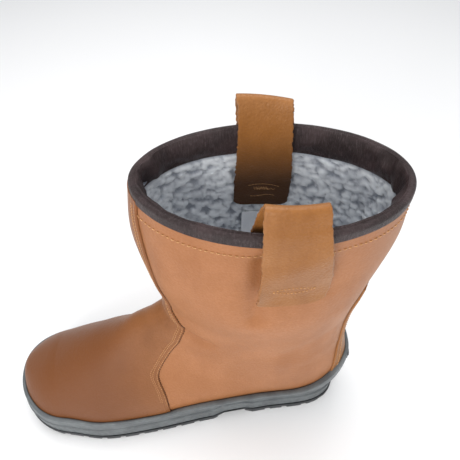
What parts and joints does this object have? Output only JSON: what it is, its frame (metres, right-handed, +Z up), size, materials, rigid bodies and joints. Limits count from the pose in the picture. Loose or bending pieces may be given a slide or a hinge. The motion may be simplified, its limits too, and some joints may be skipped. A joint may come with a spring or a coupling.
{
  "type": "rigger boot",
  "caption": "Pull-on work boot with a flared shaft, padded collar, two pull loops, a vamp with a front panel, and a cup sole with heel and tread lugs",
  "frame": {"origin": "On the ground under the middle of the heel, which is the point of the mount heel_rest", "axes": "+X from the heel to the toe, +Y to the lateral side, which is the wearer's left, and +Z up along the shaft"},
  "size_m": [0.3223, 0.1125, 0.3066],
  "materials": {
    "tan_leather": "grained tan leather with a soft sheen",
    "vamp_leather": "browner grained leather, darker toward the toe",
    "strap_leather": "tan leather strip with cut edges",
    "collar_leather": "soft dark brown padded collar leather",
    "lining": "curly grey pile lining",
    "midsole_foam": "matt moulded dark green-grey foam rubber",
    "outsole_rubber": "matt black rubber"
  },
  "bodies": {
    "root": {"upper": "tan_leather", "vamp": "vamp_leather", "backstay": "strap_leather", "collar": "collar_leather", "pull_loop_lateral": "strap_leather", "pull_loop_medial": "strap_leather", "insole": "lining", "midsole": "midsole_foam", "outsole": "outsole_rubber", "heel_clip": "outsole_rubber"}
  },
  "joints": []
}
